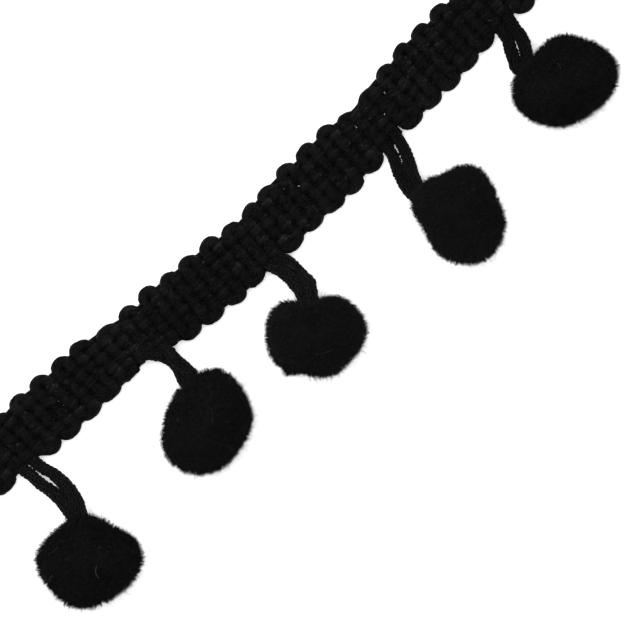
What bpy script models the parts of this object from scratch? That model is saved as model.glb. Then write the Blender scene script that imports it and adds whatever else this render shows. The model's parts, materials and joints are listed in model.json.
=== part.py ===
"""Pompom fringe trim: a cut length of knitted heading with five pompoms on doubled drop cords.

Units are metres and +Z is up. The trim lies flat on a surface at z = 0. +X runs along the heading,
the pompoms hang off its -Y edge, and the origin is the middle of the heading's flat underside.
"""

import math
import random
from collections import namedtuple

import bmesh
import bpy
from mathutils import Vector

MM = 0.001

# Heading: weft passes go to and fro across it and turn in round loops at both edges.
PASS_PITCH = 1.689 * MM
PASS_COUNT = 60
COLUMNS_PER_PASS = 3
LOOP_PITCH = 2 * PASS_PITCH
HEADING_LENGTH = PASS_COUNT * PASS_PITCH
NOTCH_DEPTH = 0.75 * MM
LOOP_ROUNDNESS = 0.94

# Lengthwise chains of stitches bind the passes; between two chains each pass stands up as a bump.
WALE_COUNT = 5
WALE_PITCH = 1.6 * MM
HEADING_THICKNESS = 2.2 * MM
PASS_GROOVE = 0.5 * MM
WALE_DIP = 0.3 * MM
LOOP_TOP = 1.65 * MM
RIM_HEIGHT = 0.8 * MM
UNDERSIDE_INSET = 0.45 * MM

# Millimetres. The heading lies in a slow S, a little narrower where a drop pulls on it, and its
# passes lean: each edge's loops are shifted along the heading from where an even knit has them.
Station = namedtuple("Station", "x centre half_width upper_shift lower_shift")
STATIONS = [
    Station(-50.7, 1.00, 4.20, 0.00, 0.00),
    Station(-42.0, 0.95, 4.25, 0.00, 0.80),
    Station(-35.0, 0.95, 4.30, 0.00, 0.90),
    Station(-27.0, 1.05, 4.15, 0.15, 0.90),
    Station(-20.0, 0.90, 3.60, 0.45, 0.60),
    Station(-13.0, 0.25, 4.30, 0.30, -0.15),
    Station(-6.0, -0.10, 4.35, 0.05, 0.15),
    Station(0.0, -0.05, 4.10, -0.10, -0.30),
    Station(8.0, 0.50, 4.40, -0.30, -0.10),
    Station(15.0, 0.80, 4.35, -0.20, -0.10),
    Station(20.0, 0.95, 3.95, -0.40, 0.10),
    Station(25.0, 1.75, 4.10, 0.15, 0.25),
    Station(30.0, 2.35, 4.35, 0.25, 0.15),
    Station(38.0, 3.05, 4.25, 0.05, 0.10),
    Station(50.7, 3.50, 4.20, 0.00, 0.00),
]

# Drop cords: one cord folded in two, both legs laid into the heading, the fold at the pompom.
CORD_RADIUS = 0.66 * MM
CORD_BEVEL_STEPS = 2
CORD_ROOT_HEIGHT = 0.95 * MM
CORD_BELLY_HEIGHT = 1.35 * MM
CORD_NECK_HEIGHT = 3.3 * MM
NECK_SPREAD = 1.65 * MM
LEG_STEPS = 8
FOLD_STEPS = 4
GUIDE_LENGTH = 2.5 * MM
GAP = 0.3 * MM
LOOP_GIVEN_TO_DROP = 2.2 * MM

# Millimetres and degrees. belly is midway between the legs, and spread the distance between them.
Drop = namedtuple("Drop", "root_x root_spread belly_x belly_y belly_spread neck_deg")
DROPS = [
    Drop(-39.65, 1.60, -38.60, -6.1, 2.20, 58),
    Drop(-18.60, 2.20, -17.85, -4.6, 1.70, 67),
    Drop(-0.05, 1.65, 0.80, -6.7, 1.70, 57),
    Drop(20.45, 1.75, 19.60, -5.1, 1.75, 112),
    Drop(40.75, 1.70, 40.35, -2.4, 1.85, 117),
]

# Pompoms: cut pile tied at its middle, rolled into a ball that is flat where it rests.
BALL_HEIGHT = 11.3 * MM
BALL_SUBDIVISIONS = 3
BALL_CENTRE_HEIGHT = 5.45 * MM
FLAT_SPOT_BAND = 0.45 * MM
PILE_OVER_BALL = 0.2 * MM
NECK_DIMPLE = 0.55 * MM
NECK_DIMPLE_DEG = 26
LOCKS_PER_BALL = 58
SPARE_LOCK_PLACES = 14
LOCK_BASE_INSET = 0.15 * MM
LOCK_LENGTH = 0.5 * MM
LOCK_TAPER = 0.5
LOCK_LEAN = 0.3
LOWEST_LOCK_SHARE = 0.35
LOCK_GROWTH_WITH_HEIGHT = 1.6
NECK_CLEAR_DEG = 25
FLOOR_CLEAR = 0.9 * MM

# Millimetres and degrees: the outline from above is a circle made oval, then a little cornered.
Ball = namedtuple("Ball", "x y radius oval oval_deg corner corner_deg square square_deg")
BALLS = [
    Ball(-41.95, -16.10, 5.95, 0.45, -35, 0.20, -32, 0.20, -42),
    Ball(-19.65, -12.80, 5.95, 0.70, 27, 0.20, -55, 0.05, -43),
    Ball(-2.45, -13.65, 5.70, 0.70, -33, 0.25, -3, 0.10, 12),
    Ball(20.95, -14.20, 5.80, 0.50, 75, 0.35, 12, 0.20, 31),
    Ball(41.60, -10.35, 5.95, 0.75, -13, 0.25, 59, 0.20, -28),
]

YARN_BLACK = (0.011, 0.011, 0.012, 1.0)
CORD_BLACK = (0.013, 0.013, 0.014, 1.0)
PILE_BLACK = (0.009, 0.009, 0.010, 1.0)
YARN_ROUGHNESS = 0.85
CORD_ROUGHNESS = 0.80
PILE_ROUGHNESS = 0.95
SMOOTH_BELOW_DEG = 50


def clear_scene():
    for obj in list(bpy.data.objects):
        bpy.data.objects.remove(obj, do_unlink=True)


def make_material(name, colour, roughness):
    material = bpy.data.materials.new(name)
    material.use_nodes = True
    shader = material.node_tree.nodes["Principled BSDF"]
    shader.inputs["Base Color"].default_value = colour
    shader.inputs["Roughness"].default_value = roughness
    shader.inputs["Metallic"].default_value = 0.0
    return material


def smooth_curve(points, u):
    """The point at u, from 0 to 1, on a Catmull-Rom curve. The two end points only guide its ends."""
    place = 1 + u * (len(points) - 3)
    i = min(int(place), len(points) - 3)
    t = place - i
    p0, p1, p2, p3 = points[i - 1 : i + 3]
    return 0.5 * (
        2 * p1
        + (p2 - p0) * t
        + (2 * p0 - 5 * p1 + 4 * p2 - p3) * t**2
        + (3 * p1 - p0 - 3 * p2 + p3) * t**3
    )


def station_at(x):
    """The heading's measures at x, blended smoothly between two stations, in metres."""
    x_mm = x / MM
    right = next((i for i, s in enumerate(STATIONS) if s.x > x_mm), len(STATIONS) - 1)
    a, b = STATIONS[max(right, 1) - 1], STATIONS[max(right, 1)]
    t = min(max((x_mm - a.x) / (b.x - a.x), 0.0), 1.0)
    ease = t * t * (3 - 2 * t)
    return Station(*((low + (high - low) * ease) * MM for low, high in zip(a, b)))


def edge_shift(x, side):
    here = station_at(x)
    return here.upper_shift if side > 0 else here.lower_shift


def loop_bulge(knit_x, side):
    """How far a loop stands out from its notches, from 0 to 1. The two edges are half a loop apart."""
    from_start = knit_x + HEADING_LENGTH / 2 + (0 if side > 0 else PASS_PITCH)
    across = 2 * (from_start / LOOP_PITCH % 1.0) - 1
    loop_knit_x = knit_x - across * LOOP_PITCH / 2
    loop_x = loop_knit_x + edge_shift(loop_knit_x, side)
    if side < 0 and any(abs(loop_x - drop.root_x * MM) < LOOP_GIVEN_TO_DROP for drop in DROPS):
        return 0.0
    lowest = math.sqrt(1 - LOOP_ROUNDNESS**2)
    return (math.sqrt(1 - (LOOP_ROUNDNESS * across) ** 2) - lowest) / (1 - lowest)


def rim_y(knit_x, side):
    """y of the outline on the upper (+1) or lower (-1) edge, at a place in the even knit."""
    here = station_at(knit_x)
    return here.centre + side * (here.half_width - NOTCH_DEPTH * (1 - loop_bulge(knit_x, side)))


def lower_edge_near(x, reach):
    """The lowest y of the lower edge within reach of x."""
    places = [x - reach, x - reach / 2, x, x + reach / 2, x + reach]
    return min(rim_y(place - edge_shift(place, -1), -1) for place in places)


def heading_rows():
    """Row numbers across the heading: half a wale apart, then a shoulder and the rim on each side."""
    rim = WALE_COUNT + 1
    return range(-rim, rim + 1)


def heading_point(column, row):
    """A point of the knitted face. Row 0 is the middle wale, and odd rows lie between two wales."""
    knit_x = column * PASS_PITCH / COLUMNS_PER_PASS - HEADING_LENGTH / 2
    here = station_at(knit_x)
    side = 1 if row > 0 else -1
    outer_wale = WALE_COUNT - 1
    rim = WALE_COUNT + 1
    half_wale = WALE_PITCH / 2 * here.half_width / (STATIONS[0].half_width * MM)
    ridge = abs(math.sin(math.pi * column / COLUMNS_PER_PASS))
    if abs(row) <= outer_wale:
        y = here.centre + row * half_wale
        dip = WALE_DIP if row % 2 == 0 else 0.0
        z = HEADING_THICKNESS - PASS_GROOVE * (1 - ridge) - dip
    elif abs(row) < rim:
        y = (here.centre + side * outer_wale * half_wale + rim_y(knit_x, side)) / 2
        z = LOOP_TOP - PASS_GROOVE / 2 * (1 - loop_bulge(knit_x, side))
    else:
        y = rim_y(knit_x, side)
        z = RIM_HEIGHT
    lean = 0.5 + 0.5 * row / rim
    return knit_x + here.lower_shift + (here.upper_shift - here.lower_shift) * lean, y, z


def build_heading(material):
    """A grid whose points are raised into passes and bumps, closed by a flat underside inside the loops."""
    rows = heading_rows()
    columns = PASS_COUNT * COLUMNS_PER_PASS
    strips = len(rows) - 1
    bm = bmesh.new()
    bmesh.ops.create_grid(bm, x_segments=columns, y_segments=strips, size=0.5)
    border = [edge for edge in bm.edges if edge.is_boundary]
    extruded = bmesh.ops.extrude_edge_only(bm, edges=border)["geom"]
    under_points = {item for item in extruded if isinstance(item, bmesh.types.BMVert)}
    under_edges = [item for item in extruded if isinstance(item, bmesh.types.BMEdge) and item.is_boundary]
    for vert in bm.verts:
        column = round((vert.co.x + 0.5) * columns)
        row = rows[round((vert.co.y + 0.5) * strips)]
        x, y, z = heading_point(column, row)
        if vert in under_points:
            z = 0.0
            if abs(row) == rows[-1]:
                y -= math.copysign(UNDERSIDE_INSET, row)
        vert.co = (x, y, z)
    bmesh.ops.holes_fill(bm, edges=under_edges, sides=0)
    return finish_mesh(bm, "heading", material, Vector((0, 0, 0)))


def finish_mesh(bm, name, material, location):
    bm.normal_update()
    bmesh.ops.recalc_face_normals(bm, faces=bm.faces)
    if bm.calc_volume(signed=True) < 0:
        bmesh.ops.reverse_faces(bm, faces=bm.faces)
    mesh = bpy.data.meshes.new(name)
    bm.to_mesh(mesh)
    bm.free()
    mesh.materials.append(material)
    mesh.shade_smooth()
    mesh.set_sharp_from_angle(angle=math.radians(SMOOTH_BELOW_DEG))
    obj = bpy.data.objects.new(name, mesh)
    obj.location = location
    return obj


def ball_radius(ball, angle):
    """Outline radius of a pompom's pile from above, in the direction of angle."""
    lobes = (
        (ball.oval, ball.oval_deg, 2),
        (ball.corner, ball.corner_deg, 3),
        (ball.square, ball.square_deg, 4),
    )
    bulge = sum(size * math.cos(n * (angle - math.radians(deg))) for size, deg, n in lobes)
    return (ball.radius + bulge) * MM


def neck_direction(drop):
    """Unit direction from a pompom's centre to where its cord enters, below the ball's middle."""
    rise = (CORD_NECK_HEIGHT - BALL_CENTRE_HEIGHT) / (BALL_HEIGHT / 2)
    level = math.sqrt(1 - rise**2)
    angle = math.radians(drop.neck_deg)
    return Vector((math.cos(angle) * level, math.sin(angle) * level, rise))


def ball_point(ball, neck, direction):
    """Point of the ball under the pile, from its centre. The tied cord draws the neck in."""
    reach = ball_radius(ball, math.atan2(direction.y, direction.x)) - PILE_OVER_BALL
    from_neck = direction.angle(neck) / math.radians(NECK_DIMPLE_DEG)
    drawn_in = NECK_DIMPLE * math.exp(-(from_neck**2))
    level = Vector((direction.x * reach, direction.y * reach, direction.z * BALL_HEIGHT / 2))
    return level - direction * drawn_in


def lock_faces(bm, ball, neck):
    """Faces spread evenly over the ball by a golden spiral, clear of the floor and of the neck."""
    golden_turn = math.pi * (3 - math.sqrt(5))
    chosen = []
    places = LOCKS_PER_BALL + SPARE_LOCK_PLACES
    for i in range(places):
        height = 1 - 2 * (i + 0.5) / places
        level = math.sqrt(1 - height**2)
        towards = Vector((math.cos(golden_turn * i) * level, math.sin(golden_turn * i) * level, height))
        target = ball_point(ball, neck, towards)
        near_floor = target.z + BALL_CENTRE_HEIGHT < FLOOR_CLEAR
        near_neck = towards.angle(neck) < math.radians(NECK_CLEAR_DEG)
        face = min(bm.faces, key=lambda f: (f.calc_center_median() - target).length)
        if not near_floor and not near_neck and face not in chosen:
            chosen.append(face)
    return chosen[:LOCKS_PER_BALL]


def build_pompom(number, ball, drop, material):
    """A ball with tapered three-sided locks standing on it, shorter underneath."""
    name = f"pompom_{number}"
    bm = bmesh.new()
    bmesh.ops.create_icosphere(bm, subdivisions=BALL_SUBDIVISIONS, radius=1.0)
    floor = -BALL_CENTRE_HEIGHT
    neck = neck_direction(drop)
    for vert in bm.verts:
        vert.co = ball_point(ball, neck, vert.co.normalized())
        if vert.co.z < floor + FLAT_SPOT_BAND:
            vert.co.z = floor
    bm.normal_update()
    faces = lock_faces(bm, ball, neck)
    bmesh.ops.inset_individual(bm, faces=faces, thickness=LOCK_BASE_INSET, use_even_offset=True)
    draw = random.Random(number)
    for face in bmesh.ops.extrude_discrete_faces(bm, faces=faces)["faces"]:
        face.normal_update()
        centre = face.calc_center_median()
        height_share = (centre.z - floor) / BALL_HEIGHT
        length = LOCK_LENGTH * min(1.0, LOWEST_LOCK_SHARE + LOCK_GROWTH_WITH_HEIGHT * height_share)
        lean = Vector([draw.uniform(-LOCK_LEAN, LOCK_LEAN) for _ in range(3)])
        tip = centre + (face.normal + lean).normalized() * length
        for vert in face.verts:
            vert.co = tip + (vert.co - centre) * LOCK_TAPER
            vert.co.z = max(vert.co.z, floor)
    return finish_mesh(bm, name, material, Vector((ball.x * MM, ball.y * MM, BALL_CENTRE_HEIGHT)))


def cord_route(drop, ball):
    """Points of a doubled cord: down one leg, round the fold at the pompom, and up the other leg."""
    neck = neck_direction(drop)
    ball_centre = Vector((ball.x * MM, ball.y * MM, BALL_CENTRE_HEIGHT))
    fold_tip = ball_centre + ball_point(ball, neck, neck) + neck * (GAP + CORD_RADIUS)
    fold_tip.z = CORD_NECK_HEIGHT
    belly = Vector((drop.belly_x * MM, drop.belly_y * MM, CORD_BELLY_HEIGHT))
    inwards = Vector((fold_tip.x - belly.x, fold_tip.y - belly.y, 0)).normalized()
    sideways = Vector((-inwards.y, inwards.x, 0))
    fold_centre = fold_tip - inwards * NECK_SPREAD / 2

    legs = []
    for side in (-1, 1):
        root_x = (drop.root_x + side * drop.root_spread / 2) * MM
        root_y = lower_edge_near(root_x, CORD_RADIUS) - GAP
        root = Vector((root_x, root_y, CORD_ROOT_HEIGHT))
        fold_end = fold_centre + sideways * side * NECK_SPREAD / 2
        leg = [
            root + Vector((0, GUIDE_LENGTH, 0)),
            root,
            belly + sideways * side * drop.belly_spread / 2 * MM,
            fold_end,
            fold_end + inwards * GUIDE_LENGTH,
        ]
        legs.append([smooth_curve(leg, step / LEG_STEPS) for step in range(LEG_STEPS + 1)])
    fold = []
    for step in range(1, FOLD_STEPS):
        angle = math.pi * step / FOLD_STEPS
        turn = inwards * math.sin(angle) - sideways * math.cos(angle)
        fold.append(fold_centre + turn * NECK_SPREAD / 2)
    return legs[0] + fold + legs[1][::-1]


def build_drop_cord(number, drop, ball, material):
    name = f"drop_cord_{number}"
    route = cord_route(drop, ball)
    root = route[0].copy()
    curve = bpy.data.curves.new(name, "CURVE")
    curve.dimensions = "3D"
    curve.bevel_depth = CORD_RADIUS
    curve.bevel_resolution = CORD_BEVEL_STEPS
    curve.use_fill_caps = True
    spline = curve.splines.new("POLY")
    spline.points.add(len(route) - 1)
    for control, point in zip(spline.points, route):
        control.co = (*(point - root), 1.0)
    curve.materials.append(material)
    obj = bpy.data.objects.new(name, curve)
    obj.location = root
    return obj


def build_trim():
    clear_scene()
    collection = bpy.data.collections.new("pompom fringe trim")
    bpy.context.scene.collection.children.link(collection)
    trim = bpy.data.objects.new("trim", None)
    collection.objects.link(trim)

    yarn = make_material("black weft yarn", YARN_BLACK, YARN_ROUGHNESS)
    cord = make_material("black drop cord", CORD_BLACK, CORD_ROUGHNESS)
    pile = make_material("black pompom pile", PILE_BLACK, PILE_ROUGHNESS)

    pieces = [build_heading(yarn)]
    for number, (drop, ball) in enumerate(zip(DROPS, BALLS), start=1):
        pieces.append(build_drop_cord(number, drop, ball, cord))
        pieces.append(build_pompom(number, ball, drop, pile))
    for piece in pieces:
        collection.objects.link(piece)
        piece.parent = trim


build_trim()
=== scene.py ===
"""Looks of the pompom fringe trim: its yarn, cords and pile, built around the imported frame.

Lengths are in metres. The trim lies on a floor at z = 0 and runs along +X, as in the frame.
"""

import json
import math
from collections import namedtuple

import bmesh
import bpy
import numpy as np
from mathutils import Matrix, Vector

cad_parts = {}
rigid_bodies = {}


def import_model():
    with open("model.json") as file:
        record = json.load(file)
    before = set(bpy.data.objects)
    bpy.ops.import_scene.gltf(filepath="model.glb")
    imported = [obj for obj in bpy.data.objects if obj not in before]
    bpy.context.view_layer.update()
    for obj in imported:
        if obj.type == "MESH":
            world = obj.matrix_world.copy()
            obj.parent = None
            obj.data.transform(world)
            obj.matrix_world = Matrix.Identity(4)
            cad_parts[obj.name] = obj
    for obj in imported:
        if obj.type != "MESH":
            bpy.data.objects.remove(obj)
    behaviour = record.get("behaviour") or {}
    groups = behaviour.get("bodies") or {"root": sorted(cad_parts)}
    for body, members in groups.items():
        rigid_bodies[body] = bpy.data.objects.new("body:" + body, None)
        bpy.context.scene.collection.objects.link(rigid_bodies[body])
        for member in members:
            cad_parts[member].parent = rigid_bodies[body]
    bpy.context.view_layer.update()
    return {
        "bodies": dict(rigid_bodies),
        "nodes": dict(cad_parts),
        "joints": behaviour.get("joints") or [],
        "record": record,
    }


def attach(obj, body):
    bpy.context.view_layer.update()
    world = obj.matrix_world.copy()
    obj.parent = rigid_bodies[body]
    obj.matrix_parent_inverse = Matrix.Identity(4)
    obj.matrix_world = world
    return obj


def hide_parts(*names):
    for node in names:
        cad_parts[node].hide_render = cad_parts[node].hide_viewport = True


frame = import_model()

MM = 0.001

# The knit: weft passes that turn in loops at both edges, and four chains that bind them.
# Between the chains, each groove between two passes shows as a pit.
PASS_PITCH = 1.689 * MM
PASS_COUNT = 60
HEADING_LENGTH = PASS_COUNT * PASS_PITCH
CHAIN_COUNT = 4
ROW_PITCH = 1.52 * MM
ROW_OFFSET = -0.09 * MM
EVEN_HALF_WIDTH = 4.2 * MM

# Millimetres. The heading lies in a slow S, and its passes lean: each edge's loops are shifted
# along the heading from where an even knit has them.
Station = namedtuple("Station", "x centre half_width upper_shift lower_shift")
STATIONS = [
    Station(-50.7, 1.00, 4.20, 0.00, 0.00),
    Station(-42.0, 0.95, 4.25, 0.00, 0.80),
    Station(-35.0, 0.95, 4.30, 0.00, 1.10),
    Station(-27.0, 1.05, 4.20, 0.05, 1.20),
    Station(-20.0, 0.90, 3.75, 0.45, 0.75),
    Station(-13.0, 0.25, 4.30, 0.30, -0.15),
    Station(-6.0, -0.10, 4.35, 0.05, 0.15),
    Station(0.0, -0.10, 4.15, -0.10, -0.25),
    Station(8.0, 0.50, 4.40, -0.30, -0.10),
    Station(15.0, 0.80, 4.35, -0.20, -0.10),
    Station(20.0, 0.95, 4.10, -0.40, 0.30),
    Station(25.0, 1.75, 4.10, 0.10, 0.75),
    Station(30.0, 2.35, 4.35, -0.05, 0.50),
    Station(38.0, 3.05, 4.25, -0.25, 0.15),
    Station(50.7, 3.50, 4.20, 0.00, 0.00),
]

# Weft cord: soft and plied, pressed down where a chain crosses it and full between two chains.
PLY_COUNT = 8
RING_POINTS_PER_PLY = 4
PLY_DEPTH = 0.12
TWIST_PITCH = 7.5 * MM
PASS_STEPS = 28
TURN_STEPS = 12
STRAIGHT_UPPER = 2.85 * MM
STRAIGHT_LOWER = 2.98 * MM
PIT_HALF_WIDTH = 0.64 * MM
BOUND_HALF_WIDTH = 0.90 * MM
PIT_HALF_HEIGHT = 1.00 * MM
BOUND_HALF_HEIGHT = 0.90 * MM
SQUARENESS = 2.2
PIT_SHARPNESS = 2.6
PASS_CENTRE_HEIGHT = 1.04 * MM
TURN_CENTRE_HEIGHT = 0.86 * MM
TURN_HALF_WIDTH_UPPER = 0.79 * MM
TURN_HALF_WIDTH_LOWER = 0.80 * MM
TURN_HALF_HEIGHT = 0.78 * MM
TURN_REACH_UPPER = 0.69 * MM
TURN_REACH_LOWER = 0.50 * MM
# How soon a turn takes its own thickness: below 1 it does so early, above 1 late.
TURN_ONSET_UPPER = 0.8
TURN_ONSET_LOWER = 1.2
# Where a drop cord's legs lie over two passes, the passes are pressed flat, and the turn
# between them hardly stands out.
PRESSED = 0.45
HIDDEN_REACH = 0.2
HIDDEN_PRESS = 0.8
WEFT_TINT_SPREAD = 0.30
WEFT_TINT_LIMITS = (0.4, 1.25)
# How open the pits are, from 0 to 1, at places across the heading in millimetres.
OPENNESS = ((-2.6, -2.2, 2.2, 2.6), (0.0, 1.0, 1.0, 0.9))
# No yarn, cord or pile goes below this height.
FLOOR_REST = 0.02 * MM

# One leg of a chain stitch: it starts inside the stitch before, widens over its pass and
# closes round the start of the stitch after. place is in passes from the groove before its
# own pass, and spread and height are in millimetres.
StitchPoint = namedtuple("StitchPoint", "place spread height")
STITCH = [
    StitchPoint(-0.20, 0.08, 1.00),
    StitchPoint(0.00, 0.14, 1.37),
    StitchPoint(0.22, 0.17, 1.62),
    StitchPoint(0.48, 0.19, 1.74),
    StitchPoint(0.74, 0.19, 1.62),
    StitchPoint(0.98, 0.15, 1.37),
    StitchPoint(1.14, 0.10, 1.00),
]
CHAIN_RADIUS = 0.40 * MM
CHAIN_TAPER = (0.6, 0.85, 1.05, 1.12, 1.05, 0.85, 0.6)
CHAIN_LEAN_EVEN = -0.08 * MM
CHAIN_LEAN_ODD = 0.26 * MM
CHAIN_TINT = (0.5, 1.35)
BACK_STRAND_HEIGHT = 0.30 * MM
BACK_STRAND_RADIUS = 0.22 * MM

# Soft strands that run low along the rows of pits and of loops, and close them from below.
FILLER_HEIGHT = 0.74 * MM
FILLER_RADIUS = 0.53 * MM
# The fillers' tints are darker than the knit's: painted shade in the pits and in the corners
# between the loops.
FILLER_SHADE_TINT = 0.8
EDGE_FILLER_HEIGHT = 0.55 * MM
EDGE_FILLER_RADIUS = 0.54 * MM
EDGE_FILLER_REACH_UPPER = 3.00 * MM
EDGE_FILLER_REACH_LOWER = -3.10 * MM
EDGE_FILLER_SHADE_TINT = 0.4

# Unevenness, and the loose yarn on top of the knit.
ROW_DRIFT = 0.09 * MM
UNEVEN = 0.11 * MM
LOOSE_PLIES = 1000
LOOSE_LOOPS = 1500
LOOSE_TOP = 2.00 * MM
LOOSE_TINT = (0.7, 1.3)
# A few loose loops are tinted pale: painted glints on the knit.
GLINT_LOOP_SHARE = 0.03
GLINT_LOOP_TINT = (1.5, 1.8)
PIT_CLEARANCE = 0.42 * MM
WEFT_FUZZ = 2800

# The rows lie a little high where the heading bends, just right of the fourth drop.
RISE = 0.40 * MM
RISE_X = 22.0 * MM
RISE_WIDTH = 3.5 * MM

# Each drop draws the knit in around its root.
PULL_WIDTH = 2.6 * MM

# Loops that lie off their even place along the heading, or reach further or less far, in
# millimetres.
Loop = namedtuple("Loop", "after_pass shift reach")
LOOPS = [
    Loop(3, 0.0, -0.20),
    Loop(7, 0.40, 0.10),
    Loop(10, 0.0, 0.24),
    Loop(12, 0.30, 0.0),
    Loop(13, -0.40, -0.10),
    Loop(14, -0.30, 0.0),
    Loop(15, 0.40, -0.45),
    Loop(16, 0.20, -0.38),
    Loop(17, 0.30, -1.00),
    Loop(18, 0.20, 0.30),
    Loop(20, 0.20, 0.28),
    Loop(22, 0.0, -0.20),
    Loop(26, 0.20, 0.12),
    Loop(27, 0.35, -0.10),
    Loop(28, 0.20, -0.15),
    Loop(32, -0.40, -0.25),
    Loop(33, 0.30, -0.10),
    Loop(35, 0.40, 0.0),
    Loop(39, 0.40, 0.0),
    Loop(40, -0.20, -0.24),
    Loop(49, 0.30, 0.0),
]

# A pit between this pass and the next that is open right through, so that the floor shows.
# across and opening are in millimetres, and thinning is the share of their thickness that the
# strands of its row lose there.
OpenPit = namedtuple("OpenPit", "after_pass across opening thinning")
OPEN_PITS = [
    OpenPit(8, 3.15, 0.05, 0.9),
    OpenPit(9, 2.20, 0.03, 0.9),
    OpenPit(10, 0.35, 0.03, 0.4),
    OpenPit(34, 1.45, 0.00, 0.45),
    OpenPit(40, 1.45, 0.02, 0.9),
    OpenPit(42, 1.60, 0.10, 0.95),
    OpenPit(42, 0.20, 0.00, 0.7),
    OpenPit(42, -1.20, 0.00, 0.6),
    OpenPit(42, -2.70, 0.04, 0.9),
    OpenPit(43, 1.60, 0.11, 0.95),
]
PIT_LENGTH = 0.35 * MM
STRAND_GAP_LENGTH = 0.45 * MM

# Drop cords: chainette, which is a fine knitted tube, folded in two.
CORD_HALF_WIDTH = 0.80 * MM
CORD_HALF_WIDTH_AT_BALL = 0.88 * MM
CORD_HALF_HEIGHT = 0.74 * MM
CORD_IN_HEADING = 6.0 * MM
CORD_TO_BALL = 12.5 * MM
CORD_NECK_HEIGHT = 3.3 * MM
STITCH_LENGTH = 0.55 * MM
STITCH_COLUMNS = 5
STITCH_RADIUS = 0.16 * MM
STITCH_TINT = (0.8, 1.25)
COLUMN_TURN_PITCH = 26 * MM
CORE_RADIUS = 0.52 * MM
CORE_TINT = 0.7
CORE_STEP = 0.3 * MM
ROUTE_STEPS = 420
FOLD_DEPTH = 1.6 * MM
CORD_FUZZ = 700

# Where the middle of each leg lies at a few places below the heading, and its height, in
# millimetres.
Row = namedtuple("Row", "y left right left_height right_height")
# Millimetres and degrees. first_pass is the weft pass whose place the left leg takes in the
# heading. The pulls are how far the drop draws the heading's edges in. The legs are thinner
# round slit_y, so that a slit shows between them. tone scales the cord's brightness.
Drop = namedtuple(
    "Drop",
    "first_pass neck_deg lower_pull upper_pull slit_y slit_reach slit_thinning tone rows",
)
DROPS = [
    Drop(5, 58, 0.75, 0.50, -4.6, 1.6, 0.06, 1.10, [
        Row(-3.4, -40.23, -38.63, 1.00, 1.00),
        Row(-5.0, -40.01, -38.05, 1.20, 1.20),
        Row(-6.7, -39.58, -37.82, 1.60, 1.60),
        Row(-8.3, -39.41, -37.81, 2.20, 2.20),
        Row(-9.9, -39.53, -38.20, 3.00, 3.00),
    ]),
    Drop(18, 67, 0.55, 0.45, -4.0, 1.0, 0.0, 1.00, [
        Row(-0.9, -20.00, -17.75, 1.60, 1.20),
        Row(-2.3, -18.90, -17.40, 1.50, 1.30),
        Row(-3.4, -18.10, -17.33, 1.10, 1.75),
        Row(-4.5, -17.70, -17.41, 0.85, 2.15),
        Row(-5.6, -17.79, -17.20, 1.20, 2.40),
        Row(-6.7, -18.09, -17.10, 2.00, 2.90),
        Row(-7.4, -18.24, -17.08, 2.70, 3.20),
    ]),
    Drop(29, 57, 0.10, 0.30, -5.0, 1.0, 0.0, 1.15, [
        Row(-4.4, -0.44, 1.01, 1.00, 1.05),
        Row(-5.4, -0.25, 1.18, 1.30, 1.40),
        Row(-6.5, -0.07, 1.23, 1.80, 1.90),
        Row(-7.6, -0.10, 1.22, 2.45, 2.55),
        Row(-8.4, -0.16, 1.20, 3.00, 3.05),
    ]),
    Drop(41, 112, 0.55, 0.40, -3.3, 1.3, 0.058, 0.90, [
        Row(-3.2, 19.46, 21.13, 1.00, 1.00),
        Row(-4.5, 18.96, 20.71, 1.25, 1.25),
        Row(-5.6, 18.57, 20.18, 1.70, 1.70),
        Row(-6.8, 18.27, 19.66, 2.35, 2.35),
        Row(-7.9, 18.15, 19.27, 3.00, 3.00),
        Row(-8.7, 18.22, 19.22, 3.25, 3.25),
    ]),
    Drop(53, 117, 0.70, 0.40, -3.3, 1.3, 0.00, 0.72, [
        Row(-1.3, 39.73, 41.18, 1.00, 1.00),
        Row(-2.4, 39.36, 41.08, 1.25, 1.25),
        Row(-3.4, 38.86, 40.83, 1.70, 1.70),
        Row(-4.5, 38.46, 40.29, 2.35, 2.35),
        Row(-5.4, 38.18, 39.77, 3.00, 3.00),
    ]),
]

# A leg's way across the heading, from under the upper loops: across is from -1 to 1, height in
# millimetres. It lies as a pass does, pressed down by each chain, and ends ROOT_GAP
# millimetres before its first row.
ROOT_GAP = 0.6
Crossing = namedtuple("Crossing", "across height")
CROSSINGS = [
    Crossing(0.78, 0.60),
    Crossing(0.60, 0.98),
    Crossing(0.41, 1.22),
    Crossing(0.22, 1.08),
    Crossing(0.03, 1.25),
    Crossing(-0.16, 1.08),
    Crossing(-0.35, 1.25),
    Crossing(-0.54, 1.08),
    Crossing(-0.74, 1.02),
]

# Pompoms: the ball under the pile, as in the frame's solids.
BALL_HEIGHT = 11.3 * MM
BALL_CENTRE_HEIGHT = 5.45 * MM
PILE_OVER_BALL = 0.2 * MM
NECK_DIMPLE = 0.10 * MM
NECK_DIMPLE_DEG = 26

# Millimetres and degrees: the outline from above is a circle made oval, then a little
# cornered. tone scales the pile's brightness.
Ball = namedtuple(
    "Ball",
    "x y radius oval oval_deg corner corner_deg square square_deg five five_deg tone",
)
BALLS = [
    Ball(-41.81, -16.12, 6.02, 0.39, -34, 0.19, -37, 0.28, -39, 0.12, -14, 0.72),
    Ball(-19.59, -12.92, 5.98, 0.75, 25, 0.13, -60, 0.06, 43, 0.09, -35, 1.00),
    Ball(-2.43, -13.67, 5.68, 0.73, -35, 0.29, -5, 0.10, 2, 0.18, 31, 1.32),
    Ball(20.84, -14.25, 5.84, 0.53, 77, 0.29, 11, 0.30, 29, 0.15, -31, 1.26),
    Ball(41.37, -10.41, 5.99, 0.75, -13, 0.13, 59, 0.23, -30, 0.05, -10, 0.70),
]

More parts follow.
